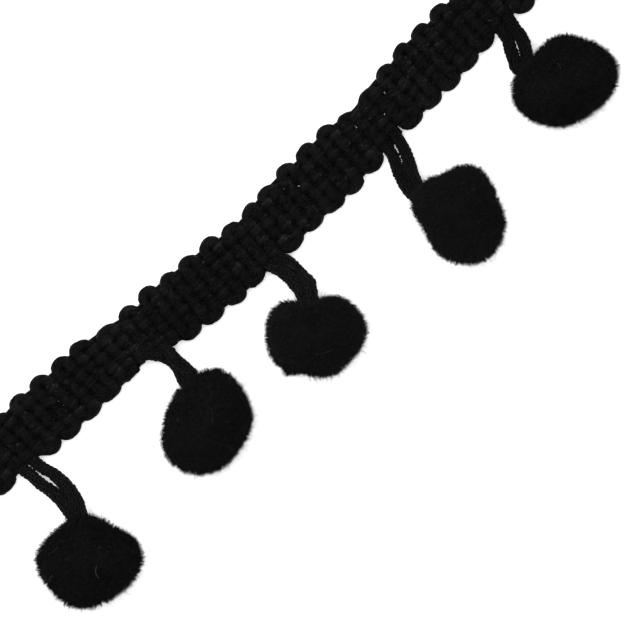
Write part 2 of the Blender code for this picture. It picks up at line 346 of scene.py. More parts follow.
# Pile: fibres that lean together in small clumps, round a dark core that is dented between
# the clumps. Jitters are shares of the ball's radius, tints scale the material's brightness,
# and HALO_LENGTH and SEEN_CURL_HEIGHT are in millimetres.
CORE_DEPTH = 0.60 * MM
CORE_UNDER_ROOTS = 0.15 * MM
CORE_SUBDIVISIONS = 5
CORE_DENT = 0.10 * MM
CORE_DENT_SPREAD = 0.0012
CLUMPS_PER_BALL = 1500
CLUMP_JITTER = 0.03
CLUMP_LEAN = 0.30
CLUMP_LIFT = 0.12 * MM
CLUMP_TINT_SPREAD = 0.05
PILE_FIBRES = 14000
PILE_JITTER = 0.012
PILE_TIP_OUT = 0.10 * MM
PILE_TIP_SPREAD = 0.10 * MM
PILE_TIP_SHAKE = 0.10 * MM
PILE_FIBRE_RADIUS = 0.05 * MM
PILE_TAPER = (1.0, 0.4)
PILE_TINT = (0.92, 1.08)
LOCK_TAPER = (1.0, 0.3)
HALO_FIBRES = 1000
HALO_DEPTH = 0.25 * MM
HALO_STEPS = 3
HALO_CRIMP = 0.5
HALO_LENGTH = 0.57
# Halo fibres are tinted paler than the pile: painted sheen, which shows most at the pompom's
# rim.
HALO_SHEEN_TINT = (1.0, 1.7)
FUZZ_RADIUS = 0.014 * MM
CURLS_PER_BALL = 60
CURL_STEPS = 8
CURL_TINT = (1.1, 1.8)
PALE_CURLS = 0.04
PALE_CURL_TINT = 4.0
CURL_RADIUS = 0.032 * MM
SEEN_CURL_RADIUS = 1.6 * CURL_RADIUS
SEEN_CURL_HEIGHT = 0.17

# Fibres that show as curls in the photograph: pompom, place on the trim, direction in degrees,
# half length and bend in millimetres, and tint.
Curl = namedtuple("Curl", "pompom x y deg half bend tint")
CURLS = [
    Curl(1, -41.85, -17.70, 58, 0.80, -0.25, 4.0),
    Curl(1, -44.10, -12.40, 0, 0.80, 0.20, 1.6),
    Curl(1, -47.00, -14.00, 80, 0.50, 0.15, 2.4),
    Curl(1, -46.60, -14.50, 20, 0.40, -0.20, 2.2),
    Curl(2, -18.28, -12.63, 55, 1.00, 0.10, 1.5),
    Curl(3, -2.98, -15.97, -26, 1.20, 0.10, 1.5),
]

# Locks of pile that stick out at a pompom's side: pompom, degrees round it, reach in
# millimetres and number of fibres.
Lock = namedtuple("Lock", "pompom deg reach fibres")
LOCKS = [
    Lock(3, 192, 0.95, 160),
    Lock(3, 200, 0.55, 120),
    Lock(2, 38, 0.35, 90),
    Lock(2, 92, 0.40, 90),
    Lock(4, 308, 0.40, 70),
    Lock(4, 355, 0.35, 90),
]

# Photograph's view: straight down, turned so that the trim climbs to the right.
VIEW_WIDTH = 79.17 * MM
VIEW_X = -0.71 * MM
VIEW_Y = -12.58 * MM
VIEW_TURN_DEG = 41.28
CAMERA_HEIGHT = 1.5
SENSOR_WIDTH = 36.0


# ---- arrays of yarn ----


def measure(column, knit_x):
    """A column of STATIONS at places along the even knit, blended smoothly, in metres."""
    table = np.array(STATIONS) * MM
    x = table[:, 0]
    i = np.clip(np.searchsorted(x, knit_x, side="right") - 1, 0, len(x) - 2)
    t = np.clip((knit_x - x[i]) / (x[i + 1] - x[i]), 0, 1)
    values = table[:, Station._fields.index(column)]
    return values[i] + (values[i + 1] - values[i]) * t * t * (3 - 2 * t)


def lay_on_trim(knit_x, across):
    """Trim x and y of places in the even knit. across is from -1, the lower edge, to 1."""
    low, high = measure("lower_shift", knit_x), measure("upper_shift", knit_x)
    x = knit_x + low + (high - low) * np.clip(0.5 + 0.55 * across, 0, 1)
    y = measure("centre", knit_x) + across * measure("half_width", knit_x)
    return x, y - np.sign(across) * drawn_in(knit_x, across)


def groove_x(after_pass):
    """x, in the even knit, of the groove between a pass and the next."""
    return PASS_PITCH * (after_pass + 1) - HEADING_LENGTH / 2


def drawn_in(knit_x, across):
    """How far the drops draw the outer part of the knit in towards its middle."""
    outer = np.clip(np.abs(across) * 2.6 - 1, 0, 1)
    pull = np.zeros(np.broadcast(knit_x, across).shape)
    for drop in DROPS:
        most = np.where(across > 0, drop.upper_pull, drop.lower_pull) * MM
        pull += most * np.exp(-(((knit_x - groove_x(drop.first_pass)) / PULL_WIDTH) ** 2))
    return pull * outer


def normalised(vectors):
    return vectors / np.maximum(np.linalg.norm(vectors, axis=-1, keepdims=True), 1e-12)


def directions(points):
    return normalised(np.gradient(points, axis=-2))


def level_frame(points):
    """For paths that mostly lie flat: the level direction across each path, and up."""
    along = directions(points)
    across = normalised(np.cross(along, [0.0, 0.0, 1.0]))
    return across, np.cross(across, along)


def any_frame(points):
    """For paths in any direction: two directions square to the path, from its own chord."""
    along = directions(points)
    chord = points[..., -1:, :] - points[..., :1, :]
    steep = np.abs(chord[..., :1]) < np.abs(chord[..., 2:])
    across = normalised(np.cross(along, np.where(steep, [1.0, 0, 0], [0, 0, 1.0])))
    return across, np.cross(across, along)


def lengths_along(points):
    """Distance along a route of each of its points."""
    return np.concatenate([[0], np.cumsum(np.linalg.norm(np.diff(points, axis=0), axis=1))])


class Yarns:
    """Collects tubes as arrays, then makes them one mesh."""

    def __init__(self):
        self.points, self.quads, self.triangles, self.places, self.tints = [], [], [], [], []
        self.count = 0

    def add(self, points, quads, triangles, places, tints):
        self.points.append(points)
        self.quads.append(quads + self.count)
        self.triangles.append(triangles + self.count)
        self.places.append(places)
        self.tints.append(tints)
        self.count += len(points)

    def tubes(self, routes, ring, across, up, tip=False, tint=None):
        """routes is strands x steps x 3, and ring is strands x steps x sides x 2, in metres
        along across and up. The ends are closed, the far one by a point where tip is true."""
        strands, steps, sides = ring.shape[:3]
        body = (
            routes[:, :, None, :]
            + ring[..., :1] * across[:, :, None, :]
            + ring[..., 1:] * up[:, :, None, :]
        )
        length = np.zeros((strands, steps))
        length[:, 1:] = np.cumsum(np.linalg.norm(np.diff(routes, axis=1), axis=2), axis=1)
        angle = np.arange(sides) * 2 * math.pi / sides
        places = np.stack(
            np.broadcast_arrays(length[:, :, None], np.cos(angle), np.sin(angle)), axis=3
        )
        if tip:
            body = np.concatenate(
                [body[:, :-1].reshape(strands, -1, 3), routes[:, -1:, :]], axis=1
            )
            places = places.reshape(strands, steps * sides, 3)[:, : body.shape[1]]
            rings = steps - 1
        else:
            body = body.reshape(strands, -1, 3)
            places = places.reshape(strands, -1, 3)
            rings = steps
        each = body.shape[1]
        step, side = np.meshgrid(np.arange(rings - 1), np.arange(sides), indexing="ij")
        a = step * sides + side
        b = step * sides + (side + 1) % sides
        quads = np.stack([a, b, b + sides, a + sides], axis=-1).reshape(-1, 4)
        fans = [[0, k + 1, k] for k in range(1, sides - 1)]
        last = (rings - 1) * sides
        if tip:
            fans += [[last + k, last + (k + 1) % sides, each - 1] for k in range(sides)]
        else:
            fans += [[last, last + k, last + k + 1] for k in range(1, sides - 1)]
        start = np.arange(strands)[:, None, None] * each
        tints = np.ones(strands) if tint is None else tint
        self.add(
            body.reshape(-1, 3),
            (quads[None] + start).reshape(-1, 4),
            (np.array(fans)[None] + start).reshape(-1, 3),
            places.reshape(-1, 3),
            np.repeat(tints, each),
        )

    def round_tubes(self, routes, radius, sides, frame, tip=False, tint=None):
        """radius is one number, or strands x steps."""
        across, up = frame(routes)
        angle = np.arange(sides) * 2 * math.pi / sides
        circle = np.stack([np.cos(angle), np.sin(angle)], axis=1)
        radius = np.broadcast_to(radius, routes.shape[:2])
        self.tubes(routes, radius[:, :, None, None] * circle, across, up, tip, tint)

    def piece(self, name, material, node):
        """All the tubes as one mesh that stands for the CAD node."""
        points = np.concatenate(self.points)
        points[:, 2] = np.maximum(points[:, 2], FLOOR_REST)
        quads, triangles = np.concatenate(self.quads), np.concatenate(self.triangles)
        mesh = bpy.data.meshes.new(name)
        mesh.vertices.add(len(points))
        mesh.vertices.foreach_set("co", points.ravel())
        mesh.loops.add(quads.size + triangles.size)
        mesh.loops.foreach_set(
            "vertex_index", np.concatenate([quads.ravel(), triangles.ravel()]).astype(np.int32)
        )
        starts = np.concatenate(
            [np.arange(len(quads)) * 4, quads.size + np.arange(len(triangles)) * 3]
        )
        mesh.polygons.add(len(starts))
        mesh.polygons.foreach_set("loop_start", starts.astype(np.int32))
        mesh.update(calc_edges=True)
        places = np.concatenate(self.places).astype(np.float32)
        place = mesh.attributes.new("place", "FLOAT_VECTOR", "POINT")
        place.data.foreach_set("vector", places.ravel())
        tint = mesh.attributes.new("tint", "FLOAT", "POINT")
        tint.data.foreach_set("value", np.concatenate(self.tints).astype(np.float32))
        mesh.shade_smooth()
        mesh.materials.append(material)
        place_piece(mesh, node)


def place_piece(mesh, node):
    """Puts a mesh in the scene as a piece of the trim that stands for the CAD node."""
    obj = bpy.data.objects.new(mesh.name, mesh)
    bpy.context.scene.collection.objects.link(obj)
    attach(obj, "root")
    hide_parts(node)


# ---- materials ----

SPECULAR_LEVEL = 0.02
SHEEN_ROUGHNESS = 0.5
BLUER = 1.02
DARK_BELOW = 0.25
LIGHT_AT = 0.8
# Pale top of each fibre ramp, which the palest tints reach: fluff on the pale curls, and
# painted glints and sheen on the pale loops and halo fibres.
LINT_AND_GLINT_TONE = 0.035
STREAKS_ALONG = 2000.0
STREAK_DETAIL = 1.5
ROUGHNESS_SPREAD = 0.08
BUMP_HEIGHT = 0.05 * MM


def set_inputs(node, values):
    for name, value in values.items():
        node.inputs[name].default_value = value


def fibre_material(name, dark, light, roughness, sheen, streaks_around, bump):
    """Black fibre: streaks along each yarn, a tone per yarn, and pale fluff and painted
    glints.
    """
    material = bpy.data.materials.new(name)
    material.use_nodes = True
    nodes, links = material.node_tree.nodes, material.node_tree.links
    shader = nodes["Principled BSDF"]
    set_inputs(shader, {"Sheen Weight": sheen, "Sheen Roughness": SHEEN_ROUGHNESS})
    set_inputs(shader, {"Specular IOR Level": SPECULAR_LEVEL})

    place = nodes.new("ShaderNodeAttribute")
    place.attribute_name = "place"
    stretch = nodes.new("ShaderNodeMapping")
    set_inputs(stretch, {"Scale": (STREAKS_ALONG, streaks_around, streaks_around)})
    links.new(place.outputs["Vector"], stretch.inputs["Vector"])
    streaks = nodes.new("ShaderNodeTexNoise")
    set_inputs(streaks, {"Scale": 1.0, "Detail": STREAK_DETAIL})
    links.new(stretch.outputs["Vector"], streaks.inputs["Vector"])

    tint = nodes.new("ShaderNodeAttribute")
    tint.attribute_name = "tint"
    tone = nodes.new("ShaderNodeMath")
    tone.operation = "MULTIPLY"
    links.new(streaks.outputs["Fac"], tone.inputs[0])
    links.new(tint.outputs["Fac"], tone.inputs[1])
    colours = nodes.new("ShaderNodeValToRGB")
    stops = colours.color_ramp.elements
    stops[0].position = DARK_BELOW
    stops[0].color = (dark, dark, dark * BLUER, 1.0)
    stops[1].position = LIGHT_AT
    stops[1].color = (light, light, light * BLUER, 1.0)
    # Pale top stop: fluff, and painted glints and sheen.
    lint_and_glint = stops.new(1.0)
    lint_and_glint.color = (LINT_AND_GLINT_TONE, LINT_AND_GLINT_TONE, LINT_AND_GLINT_TONE, 1.0)
    links.new(tone.outputs["Value"], colours.inputs["Fac"])
    links.new(colours.outputs["Color"], shader.inputs["Base Color"])

    gloss = nodes.new("ShaderNodeMapRange")
    low, high = roughness - ROUGHNESS_SPREAD, roughness + ROUGHNESS_SPREAD
    set_inputs(gloss, {"To Min": high, "To Max": low})
    links.new(streaks.outputs["Fac"], gloss.inputs["Value"])
    links.new(gloss.outputs["Result"], shader.inputs["Roughness"])

    relief = nodes.new("ShaderNodeBump")
    set_inputs(relief, {"Strength": bump, "Distance": BUMP_HEIGHT})
    links.new(streaks.outputs["Fac"], relief.inputs["Height"])
    links.new(relief.outputs["Normal"], shader.inputs["Normal"])
    return material


# ---- heading ----

Cord = namedtuple("Cord", "points across up half_width half_height length")


def soft_noise(rng, count, spacing):
    """Smooth random numbers of about unit size, with a new one every spacing steps."""
    knots = rng.normal(size=count // spacing + 3)
    return np.interp(np.arange(count) / spacing, np.arange(len(knots)), knots)


def row_drift(knit_x):
    """The chains and the rows of pits wander a little to and fro across the heading."""
    wander = np.sin(knit_x / (2.1 * MM)) + 0.7 * np.sin(knit_x / (1.13 * MM) + 1.0)
    return ROW_DRIFT * wander + RISE * np.exp(-(((knit_x - RISE_X) / RISE_WIDTH) ** 2))


def cord_passes():
    """Passes of the weft that lie low, because a leg of a drop cord lies over them."""
    return {drop.first_pass + leg for drop in DROPS for leg in (0, 1)}


def weft_path(rng):
    """The weft's way through the even knit, from the first pass's lower end to the last pass:
    knit_x, across, how far it is pressed down and how far it is turning, from 0 to 1."""
    low_passes = cord_passes()
    upper, lower = STRAIGHT_UPPER / EVEN_HALF_WIDTH, STRAIGHT_LOWER / EVEN_HALF_WIDTH
    knit_x, across, lowered, turning = [], [], [], []
    for j in range(PASS_COUNT):
        towards = 1 if j % 2 == 0 else -1
        middle = -HEADING_LENGTH / 2 + PASS_PITCH * (j + 0.5)
        run = np.linspace(-lower, upper, PASS_STEPS)[::towards]
        offset = np.full(PASS_STEPS, rng.normal() * 0.05 * MM)
        for pit in OPEN_PITS:
            side = {pit.after_pass: -1, pit.after_pass + 1: 1}.get(j, 0)
            off_pit = run * EVEN_HALF_WIDTH - pit.across * MM - row_drift(middle)
            offset += side * pit.opening * MM * np.exp(-((off_pit / PIT_LENGTH) ** 2))
        knit_x.append(middle + offset)
        across.append(run)
        lowered.append(np.full(PASS_STEPS, 1.0 if j in low_passes else 0.0))
        turning.append(np.zeros(PASS_STEPS))
        if j < PASS_COUNT - 1:
            angle = math.pi * (np.arange(TURN_STEPS) + 1) / (TURN_STEPS + 1)
            own = next((loop for loop in LOOPS if loop.after_pass == j), Loop(j, 0, 0))
            even_reach = TURN_REACH_UPPER if towards > 0 else TURN_REACH_LOWER
            reach = even_reach + own.reach * MM + 0.05 * MM * rng.normal()
            hidden = j in low_passes and j + 1 in low_passes and towards < 0
            turned = PASS_PITCH / 2 * (1 - np.cos(angle))
            knit_x.append(middle + turned + own.shift * MM * np.sin(angle))
            reached = reach / EVEN_HALF_WIDTH * np.sin(angle) * (HIDDEN_REACH if hidden else 1)
            across.append(upper + reached if towards > 0 else -lower - reached)
            lowered.append(np.full(TURN_STEPS, HIDDEN_PRESS if hidden else 0.0))
            turning.append(np.sin(angle))
    knit_x, across, lowered, turning = map(np.concatenate, (knit_x, across, lowered, turning))
    blur = np.ones(9) / 9
    lowered = np.convolve(np.pad(lowered, 4, mode="edge"), blur, mode="valid")
    return knit_x, across, lowered, turning


def weft_cord():
    """The weft cord along its path: narrow at the pits, wide under the chains."""
    rng = np.random.default_rng(11)
    knit_x, across, lowered, turning = weft_path(rng)
    count = len(knit_x)
    rows_off = (across * EVEN_HALF_WIDTH - ROW_OFFSET - row_drift(knit_x)) / ROW_PITCH
    open_part = np.abs(np.cos(math.pi * rows_off)) ** PIT_SHARPNESS
    open_part *= np.interp(across * EVEN_HALF_WIDTH / MM, *OPENNESS)
    at_turn = turning ** np.where(across > 0, TURN_ONSET_UPPER, TURN_ONSET_LOWER)
    turn_width = np.where(across > 0, TURN_HALF_WIDTH_UPPER, TURN_HALF_WIDTH_LOWER)
    half_width = BOUND_HALF_WIDTH + (PIT_HALF_WIDTH - BOUND_HALF_WIDTH) * open_part
    half_width += (turn_width - half_width) * at_turn
    half_height = BOUND_HALF_HEIGHT + (PIT_HALF_HEIGHT - BOUND_HALF_HEIGHT) * open_part
    half_height += (TURN_HALF_HEIGHT - half_height) * at_turn
    half_width = half_width * (1 + 0.07 * soft_noise(rng, count, 4))
    half_height = half_height * (1 + 0.07 * soft_noise(rng, count, 4))
    half_height *= 1 - PRESSED * lowered
    z = PASS_CENTRE_HEIGHT + (TURN_CENTRE_HEIGHT - PASS_CENTRE_HEIGHT) * at_turn
    z = z * (1 - PRESSED * lowered) + 0.06 * MM * soft_noise(rng, count, 6)

    x, y = lay_on_trim(knit_x + 0.06 * MM * soft_noise(rng, count, 5), across)
    points = np.stack([x, y, z], axis=1)
    side, up = level_frame(points)
    return Cord(points, side, up, half_width, half_height, lengths_along(points))


def build_weft(yarns, cord):
    """One long plied tube. Its ring turns with the twist, so each ply keeps its points."""
    ring_points = PLY_COUNT * RING_POINTS_PER_PLY
    around = np.arange(ring_points) * 2 * math.pi / ring_points
    fullness = 1 - PLY_DEPTH * (1 - np.abs(np.cos(around * PLY_COUNT / 2)))
    angle = around[None, :] + (cord.length * 2 * math.pi / TWIST_PITCH)[:, None]
    squared = np.abs(np.cos(angle)) ** SQUARENESS + np.abs(np.sin(angle)) ** SQUARENESS
    fullness = fullness * squared ** (-1 / SQUARENESS)
    ring = np.stack(
        [
            np.cos(angle) * fullness * cord.half_width[:, None],
            np.sin(angle) * fullness * cord.half_height[:, None],
        ],
        axis=2,
    )
    yarns.tubes(cord.points[None], ring[None], cord.across[None], cord.up[None])
    blotches = soft_noise(np.random.default_rng(12), len(cord.points), 6)
    tint = np.clip(1 + WEFT_TINT_SPREAD * blotches, *WEFT_TINT_LIMITS)
    yarns.tints[-1] = np.repeat(tint, ring_points)


def on_cord(cord, length, angle, out):
    """Points at a length along the cord and an angle round it. out is 1 on its surface."""
    at = [
        np.stack([np.interp(length, cord.length, values[:, k]) for k in range(3)], axis=-1)
        for values in (cord.points, cord.across, cord.up)
    ]
    wide = np.interp(length, cord.length, cord.half_width) * np.cos(angle) * out
    high = np.interp(length, cord.length, cord.half_height) * np.sin(angle) * out
    return at[0] + wide[..., None] * at[1] + high[..., None] * at[2]


def build_loose_plies(yarns, cord, count, rng):
    """Short lengths of ply that have worked loose: they lie on the cord in all directions."""
    start = rng.uniform(0, cord.length[-1] - 3 * MM, count)[:, None]
    length = rng.uniform(0.25, 0.9, count)[:, None] * MM
    t = np.linspace(0, 1, 6)[None, :]
    angle = rng.uniform(0.12, 0.88, count)[:, None] * math.pi
    turn = rng.normal(0.2, 1.0, count)[:, None] / MM
    out = 0.90 + rng.uniform(0.06, 0.18, (count, 1)) * np.sin(math.pi * t)
    routes = on_cord(cord, start + length * t, angle + turn * length * (t - 0.5), out)
    routes += rng.normal(0, 0.03 * MM, routes.shape)
    radius = rng.uniform(0.06, 0.11, count)[:, None] * MM * np.ones_like(t)
    yarns.round_tubes(routes, radius, 4, any_frame, tint=rng.uniform(*LOOSE_TINT, count))


def build_loose_loops(yarns, count, rng):
    """Short loops of ply on the knit's upper face, between the pits."""
    knit_x = rng.uniform(-0.5, 0.5, count) * (HEADING_LENGTH - 2 * PASS_PITCH)
    middle = rng.uniform(-3.1, 3.1, count) * MM
    rows_off = (middle - ROW_OFFSET - row_drift(knit_x)) / ROW_PITCH
    passes_off = (knit_x + HEADING_LENGTH / 2) / PASS_PITCH
    off_row = (rows_off - np.round(rows_off)) * ROW_PITCH
    off_groove = (passes_off - np.round(passes_off)) * PASS_PITCH
    from_pit = np.hypot(off_row, off_groove)
    keep = from_pit > PIT_CLEARANCE
    for pit in OPEN_PITS:
        off_pit = np.hypot(knit_x - groove_x(pit.after_pass), middle - pit.across * MM)
        keep &= off_pit > 2 * PIT_CLEARANCE
    knit_x, middle, from_pit = knit_x[keep], middle[keep], from_pit[keep]
    x, y = lay_on_trim(knit_x, middle / EVEN_HALF_WIDTH)
    heading = rng.uniform(0, math.pi, len(x))
    half = rng.uniform(0.12, 0.34, len(x)) * MM
    bend = rng.normal(0, 0.10, len(x)) * MM
    t = np.linspace(-1, 1, 6)[None, :]
    along, aside = half[:, None] * t, bend[:, None] * (t**2 - 0.4)
    top = rng.normal(LOOSE_TOP, 0.05 * MM, len(x))
    top -= 0.5 * np.clip(0.7 * MM - from_pit, 0, None)
    top += 0.16 * MM * np.sin(math.pi * rows_off[keep]) ** 2
    top -= 0.20 * MM * np.cos(math.pi * passes_off[keep]) ** 4
    cos, sin = np.cos(heading)[:, None], np.sin(heading)[:, None]
    routes = np.stack(
        [
            x[:, None] + along * cos - aside * sin,
            y[:, None] + along * sin + aside * cos,
            top[:, None] - 0.22 * MM * t**4,
        ],
        axis=2,
    )
    radius = rng.uniform(0.07, 0.13, len(x))[:, None] * MM * np.ones_like(t)
    # The pale loops are painted glints.
    pale = rng.random(len(x)) < GLINT_LOOP_SHARE
    glint_tint, tint = rng.uniform(*GLINT_LOOP_TINT, len(x)), rng.uniform(*LOOSE_TINT, len(x))
    tint = np.where(pale, glint_tint, tint)
    yarns.round_tubes(routes, radius, 4, any_frame, tint=tint)


def build_fuzz(yarns, cord, count, rng):
    """Fine fibres that leave a cord outwards and bend over along it."""
    at = rng.uniform(0, cord.length[-1], count)
    angle = rng.uniform(-0.2, 1.2, count) * math.pi
    start = on_cord(cord, at, angle, 0.93)
    outer = on_cord(cord, at, angle, 1.9)
    ahead = on_cord(cord, at + 0.2 * MM, angle, 0.93)
    outward, along = normalised(outer - start), normalised(ahead - start)
    length = (rng.gamma(2.5, 0.09, count) * MM)[:, None, None]
    bend = along * rng.uniform(-1, 1, (count, 1)) + rng.normal(0, 0.4, (count, 3))
    t = np.linspace(0, 1, 3)[None, :, None]
    routes = start[:, None] + (outward[:, None] * t + bend[:, None] * t**2 * 0.8) * length
    taper = FUZZ_RADIUS * np.array([1.0, 0.75, 0.2])[None, :] * np.ones((count, 1))
    yarns.round_tubes(routes, taper, 3, any_frame, tip=True, tint=rng.uniform(0.9, 1.5, count))


def build_chains(yarns, rng):
    """Each chain has a stitch of two legs over each pass, and one strand along the back."""
    place, spread_mm, height_mm = np.array(STITCH).T[:, None, :]
    start = -HEADING_LENGTH / 2 + PASS_PITCH * np.arange(PASS_COUNT)[:, None]
    knit_x = start + PASS_PITCH * place
    even_lean = np.where(np.arange(PASS_COUNT) % 2, CHAIN_LEAN_ODD, CHAIN_LEAN_EVEN)[:, None]
    for chain in range(CHAIN_COUNT):
        middle = ROW_OFFSET + ROW_PITCH * (chain - (CHAIN_COUNT - 1) / 2)
        x, y = lay_on_trim(knit_x, middle / EVEN_HALF_WIDTH)
        y = y + row_drift(knit_x) + UNEVEN * rng.normal(size=(PASS_COUNT, 1))
        x = x + UNEVEN * rng.normal(size=(PASS_COUNT, 1))
        lean = (even_lean + 1.5 * UNEVEN * rng.normal(size=(PASS_COUNT, 1))) * (place - 0.5)
        lift = 0.5 * UNEVEN * rng.normal(size=(PASS_COUNT, 1))
        for side in (-1, 1):
            fullness = 1 + 0.3 * rng.normal(size=(PASS_COUNT, 1))
            spread = spread_mm * fullness * MM + 0.3 * UNEVEN * rng.normal(size=x.shape)
            height = height_mm * MM + lift + 0.4 * UNEVEN * rng.normal(size=x.shape)
            routes = np.stack([x, y + lean + side * spread, height], axis=2)
            radius = CHAIN_RADIUS * rng.uniform(0.72, 1.12, (PASS_COUNT, 1))
            radius = radius * np.array(CHAIN_TAPER)
            tint = rng.uniform(*CHAIN_TINT, PASS_COUNT)
            yarns.round_tubes(routes, radius, 7, any_frame, tint=tint)
        strand(yarns, middle, BACK_STRAND_HEIGHT, BACK_STRAND_RADIUS)


def strand(yarns, middle, height, radius, tint=1.0):
    """A strand along the whole heading, thinner at the open pits."""
    knit_x = np.linspace(-HEADING_LENGTH / 2, HEADING_LENGTH / 2, PASS_COUNT * 3 + 1)
    x, y = lay_on_trim(knit_x, middle / EVEN_HALF_WIDTH)
    route = np.stack([x, y + row_drift(knit_x), np.full(len(x), height)], axis=1)
    thickness = np.full(len(x), radius)
    for pit in OPEN_PITS:
        if abs(pit.across * MM - middle) < ROW_PITCH / 2:
            off_pit = (knit_x - groove_x(pit.after_pass)) / STRAND_GAP_LENGTH
            thickness *= 1 - pit.thinning * np.exp(-(off_pit**2))
    yarns.round_tubes(route[None], thickness[None], 8, level_frame, tint=np.array([tint]))


def build_fillers(yarns):
    """The strands that close the pits of each row from below, and those along the loops."""
    # Their darker tints are painted shade in the pits and between the loops.
    for row in range(-1, 2):
        middle = ROW_OFFSET + ROW_PITCH * row
        strand(yarns, middle, FILLER_HEIGHT, FILLER_RADIUS, FILLER_SHADE_TINT)
    for reach in (EDGE_FILLER_REACH_LOWER, EDGE_FILLER_REACH_UPPER):
        strand(yarns, reach, EDGE_FILLER_HEIGHT, EDGE_FILLER_RADIUS, EDGE_FILLER_SHADE_TINT)


# ---- drop cords ----


def smooth_curve(points, steps):
    """Catmull-Rom curve through the points, with its two end points as guides only."""
    points = np.array(points)
    place = np.linspace(0, len(points) - 3, steps)
    i = np.minimum(place.astype(int), len(points) - 4)
    t = (place - i)[:, None]
    p0, p1, p2, p3 = (points[i + k] for k in range(4))
    return 0.5 * (
        2 * p1
        + (p2 - p0) * t
        + (2 * p0 - 5 * p1 + 4 * p2 - p3) * t**2
        + (3 * p1 - p0 - 3 * p2 + p3) * t**3
    )


def even_steps(points, step):
    """The same route with points a step apart."""
    length = lengths_along(points)
    places = np.linspace(0, length[-1], max(int(length[-1] / step), 8))
    return np.stack([np.interp(places, length, points[:, k]) for k in range(3)], axis=1)


def ball_radius(ball, angle):
    lobes = (
        (ball.oval, ball.oval_deg, 2),
        (ball.corner, ball.corner_deg, 3),
        (ball.square, ball.square_deg, 4),
        (ball.five, ball.five_deg, 5),
    )
    bulge = sum(size * np.cos(n * (angle - math.radians(deg))) for size, deg, n in lobes)
    return (ball.radius + bulge) * MM


def neck_direction(drop):
    """Unit direction from a pompom's centre to where its cord enters, below its middle."""
    rise = (CORD_NECK_HEIGHT - BALL_CENTRE_HEIGHT) / (BALL_HEIGHT / 2)
    level = math.sqrt(1 - rise**2)
    angle = math.radians(drop.neck_deg)
    return np.array([math.cos(angle) * level, math.sin(angle) * level, rise])


def ball_points(ball, neck, unit, inset):
    """Points in unit directions from the ball's centre, inset from its pile's outline."""
    reach = ball_radius(ball, np.arctan2(unit[:, 1], unit[:, 0])) - inset
    from_neck = np.arccos(np.clip(unit @ neck, -1, 1)) / math.radians(NECK_DIMPLE_DEG)
    height = BALL_HEIGHT / 2 + PILE_OVER_BALL - inset
    level = np.stack([unit[:, 0] * reach, unit[:, 1] * reach, unit[:, 2] * height], axis=1)
    level -= unit * (NECK_DIMPLE * np.exp(-(from_neck**2)))[:, None]
    return level + ball_centre(ball)


def ball_centre(ball):
    return np.array([ball.x * MM, ball.y * MM, BALL_CENTRE_HEIGHT])


def leg_route(drop, leg):
    """Points of leg 0 or 1, from under the upper loops, over the heading and to the pompom."""
    knit_x = -HEADING_LENGTH / 2 + PASS_PITCH * (drop.first_pass + leg + 0.5)
    route = []
    for crossing in CROSSINGS:
        x, y = lay_on_trim(np.array([knit_x]), np.array([crossing.across]))
        if y[0] > (drop.rows[0].y + ROOT_GAP) * MM:
            route.append([x[0], y[0], crossing.height * MM])
    for row in drop.rows:
        x, height = ((row.left, row.left_height), (row.right, row.right_height))[leg]
        route.append([x * MM, row.y * MM, height * MM])
    return route


def drop_route(drop, ball):
    """The doubled cord: down the left leg, round the fold in the pile, up the right leg."""
    neck = neck_direction(drop)
    fold = ball_points(ball, neck, neck[None], FOLD_DEPTH)[0]
    left, right = leg_route(drop, 0), leg_route(drop, 1)
    points = [left[0]] + left + [list(fold)] + right[::-1] + [right[0]]
    return smooth_curve(points, ROUTE_STEPS)


def build_chainette(yarns, drop, route, rng):
    """A knitted tube round a soft core: columns of stitches, each a V of two short legs."""
    core = even_steps(route, CORE_STEP)
    yarns.round_tubes(core[None], CORE_RADIUS, 10, level_frame, tint=np.array([CORE_TINT]))
    length = lengths_along(core)
    side, up = level_frame(core)
    from_end = np.minimum(length, length[-1] - length)
    half_width = np.interp(
        from_end, (CORD_IN_HEADING, CORD_TO_BALL), (CORD_HALF_WIDTH, CORD_HALF_WIDTH_AT_BALL)
    )
    from_slit = (core[:, 1] - drop.slit_y * MM) / (drop.slit_reach * MM)
    half_width -= drop.slit_thinning * MM * np.exp(-(from_slit**4))
    half_width -= STITCH_RADIUS
    half_height = np.full(len(core), CORD_HALF_HEIGHT) - STITCH_RADIUS
    cord = Cord(core, side, up, half_width, half_height, length)
    stitches = int(length[-1] / STITCH_LENGTH) - 2
    t = np.linspace(0, 1, 4)[None, :]
    half_column = math.pi / STITCH_COLUMNS
    for column in range(STITCH_COLUMNS):
        start = (np.arange(stitches) + 0.5 + 0.5 * (column % 2))[:, None] * STITCH_LENGTH
        turn = start * 2 * math.pi / COLUMN_TURN_PITCH
        turn = turn + 0.09 * rng.normal(size=(stitches, 1))
        for leg in (-1, 1):
            angle = 2 * half_column * column + turn + leg * half_column * (0.12 + 0.72 * t)
            out = 0.86 + 0.2 * np.sin(math.pi * t) ** 0.6
            out = out + 0.04 * rng.normal(size=(stitches, 1))
            routes = on_cord(cord, start + STITCH_LENGTH * 1.35 * t, angle, out)
            radius = STITCH_RADIUS * np.array([0.6, 1.0, 1.0, 0.6])[None, :]
            tint = drop.tone * rng.uniform(*STITCH_TINT, stitches)
            yarns.round_tubes(routes, radius, 4, any_frame, tint=tint)
    return cord


def build_drop_cord(number, drop, ball, material):
    rng = np.random.default_rng(200 + number)
    yarns = Yarns()
    cord = build_chainette(yarns, drop, drop_route(drop, ball), rng)
    build_fuzz(yarns, cord, CORD_FUZZ, rng)
    node = f"drop_cord_{number}"
    yarns.piece(f"{node}_chainette", material, node)


# ---- pompoms ----


